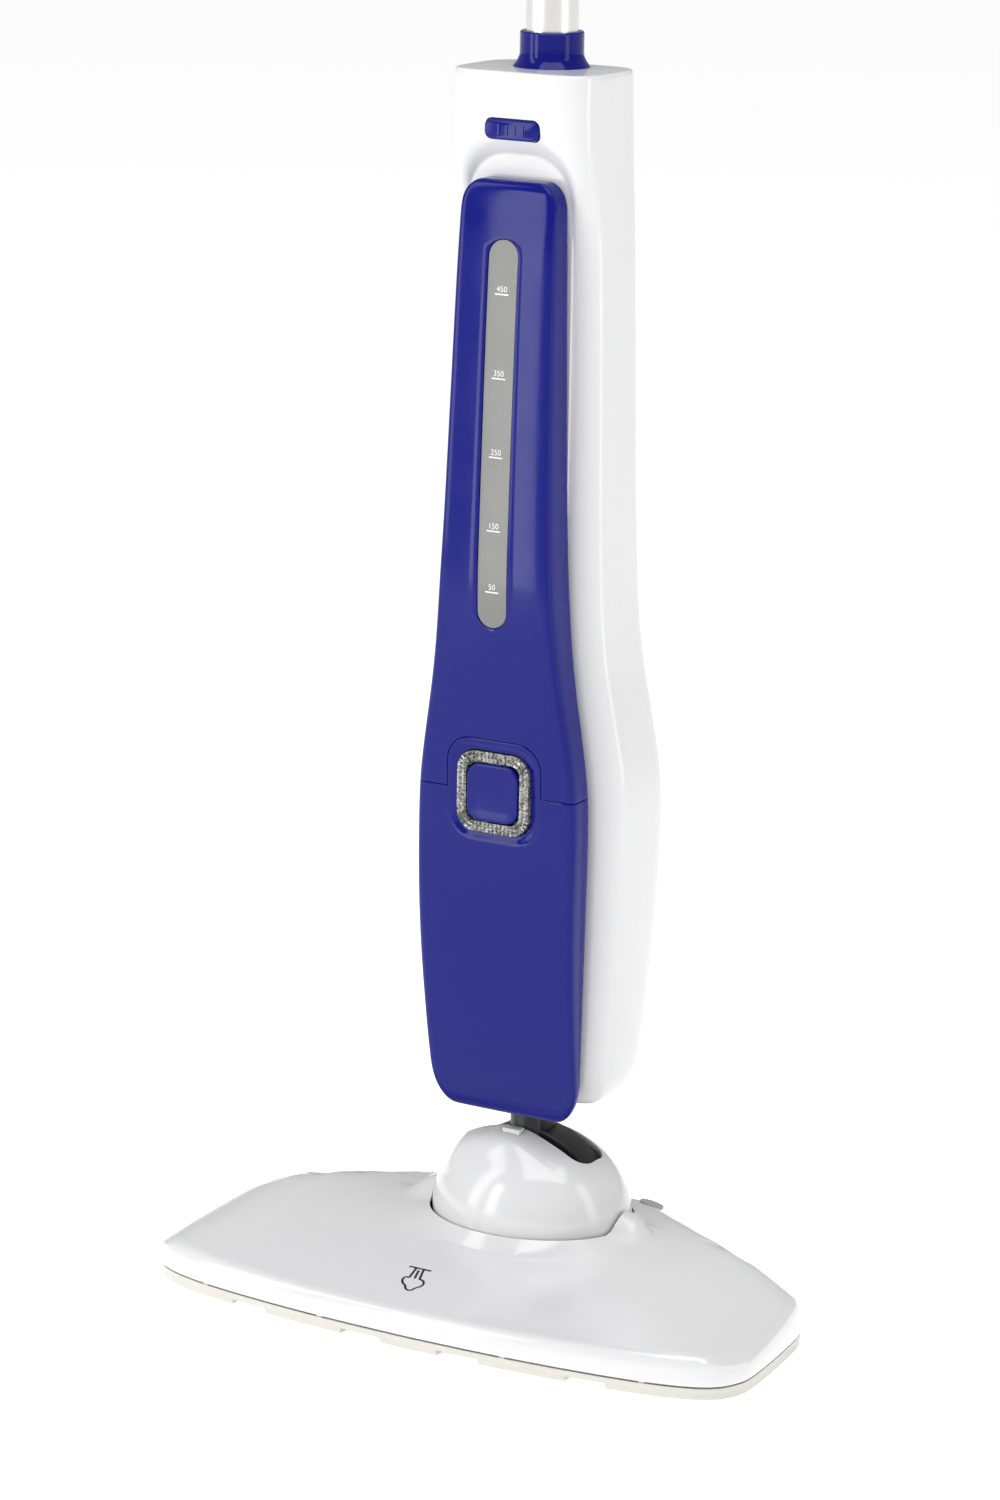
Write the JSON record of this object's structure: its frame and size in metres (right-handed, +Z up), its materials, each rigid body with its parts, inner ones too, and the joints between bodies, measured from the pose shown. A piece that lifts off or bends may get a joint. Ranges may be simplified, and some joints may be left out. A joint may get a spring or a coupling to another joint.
{
  "type": "steam mop",
  "caption": "Upright steam mop with a wide swivelling floor head, slim white body, blue removable water tank with a window, power key and aluminium tube handle.",
  "frame": {"origin": "on the floor under the crossing of the tilt and swivel axes, on the nozzle side of the sole", "axes": "+Z up along the tube, +Y to the rear of the mop, +X to its right seen from the front with the mop facing -Y"},
  "size_m": [0.3316, 0.184, 1.18],
  "materials": {
    "white_gloss": "glossy moulded",
    "cream_plastic": "satin moulded",
    "blue_gloss": "high gloss",
    "black_plastic": "satin",
    "grey_plastic": "satin",
    "steel": "plain",
    "boiler_metal": "cast",
    "tube_metal": "brushed and anodised",
    "clear_ring": "faceted clear",
    "window_grey": "smoked translucent",
    "vessel_clear": "translucent",
    "circuit_green": "lacquered",
    "red_silicone": "soft",
    "clear_hose": "translucent",
    "soft_black": "soft"
  },
  "bodies": {
    "floor_head": {"head_cover": "white_gloss", "base_plate": "cream_plastic", "sole_rails": "cream_plastic", "nozzle_plate": "cream_plastic", "steam_manifold": "black_plastic", "manifold_gasket": "red_silicone", "steam_riser": "red_silicone", "bracket_left": "black_plastic", "bracket_right": "black_plastic", "trunnion_pins": "steel", "head_screws": "steel", "lobe_plug": "grey_plastic"},
    "tilt_dome": {"dome": "white_gloss", "swivel_pin": "steel"},
    "latch_block": {"park_latch": "grey_plastic"},
    "upright": {"neck": "black_plastic", "swivel_disc": "black_plastic", "front_shell": "white_gloss", "rear_shell": "white_gloss", "lower_cover": "blue_gloss", "light_ring": "clear_ring", "circuit_board": "circuit_green", "power_switch": "black_plastic", "boiler": "boiler_metal", "boiler_clamps": "steel", "pump": "black_plastic", "water_hose": "clear_hose", "steam_hose": "red_silicone", "tank_cradle": "white_gloss", "inlet_spigot": "black_plastic", "release_spring": "steel", "latch_pin": "steel", "tube_collar": "blue_gloss", "lower_tube": "tube_metal", "tube_joiner": "blue_gloss", "upper_tube": "tube_metal", "handle_front": "blue_gloss", "handle_back": "white_gloss", "handle_sleeve": "soft_black", "cord_gland": "black_plastic", "lower_hook": "blue_gloss", "hook_stud": "blue_gloss", "body_screws": "steel", "handle_screws": "steel"},
    "water_tank": {"tank_shell": "blue_gloss", "tank_window": "window_grey", "tank_body": "vessel_clear", "outlet_seal": "soft_black"},
    "tank_cap": {"filler_cap": "blue_gloss", "cap_seal": "soft_black"},
    "power_key": {"power_button": "blue_gloss"},
    "release_key": {"release_button": "blue_gloss"},
    "release_lever": {"latch_lever": "black_plastic"},
    "cord_hook": {"upper_hook": "blue_gloss"}
  },
  "joints": [
    {"name": "head_tilt", "type": "hinge", "parent": "floor_head", "child": "tilt_dome", "pos_m": [0, 0, 0.0395], "axis": [-1, 0, 0], "range_deg": [0, 45]},
    {"name": "side_swivel", "type": "hinge", "parent": "tilt_dome", "child": "upright", "pos_m": [0, 0, 0.0395], "axis": [0, 1, 0], "range_deg": [-33, 33]},
    {"name": "park_latch_push", "type": "slide", "parent": "tilt_dome", "child": "latch_block", "axis": [0, 0, -1], "range_m": [0, 0.002], "stiffness_N_per_m": 600, "springref_m": -0.001},
    {"name": "tank_pull", "type": "slide", "parent": "upright", "child": "water_tank", "axis": [0, -1, 0], "range_m": [0, 0.07]},
    {"name": "cap_turn", "type": "hinge", "parent": "water_tank", "child": "tank_cap", "pos_m": [0, -0.006, 0.5185], "axis": [0, 1, 0], "range_deg": [0, 90]},
    {"name": "power_press", "type": "slide", "parent": "upright", "child": "power_key", "axis": [0, 1, 0], "range_m": [0, 0.0015], "stiffness_N_per_m": 1200, "springref_m": -0.0005},
    {"name": "release_press", "type": "slide", "parent": "upright", "child": "release_key", "axis": [0, 1, 0], "range_m": [0, 0.003], "stiffness_N_per_m": 900, "springref_m": -0.001},
    {"name": "lever_tilt", "type": "hinge", "parent": "upright", "child": "release_lever", "pos_m": [0, -0.0055, 0.566], "axis": [-1, 0, 0], "range_deg": [0, 15]},
    {"name": "hook_turn", "type": "hinge", "parent": "upright", "child": "cord_hook", "pos_m": [0, 0.024, 0.942], "axis": [0, 1, 0], "range_deg": [0, 180]}
  ],
  "couplings": [
    {"joint": "lever_tilt", "follows": "release_press", "rad_per_m": 80.285}
  ]
}
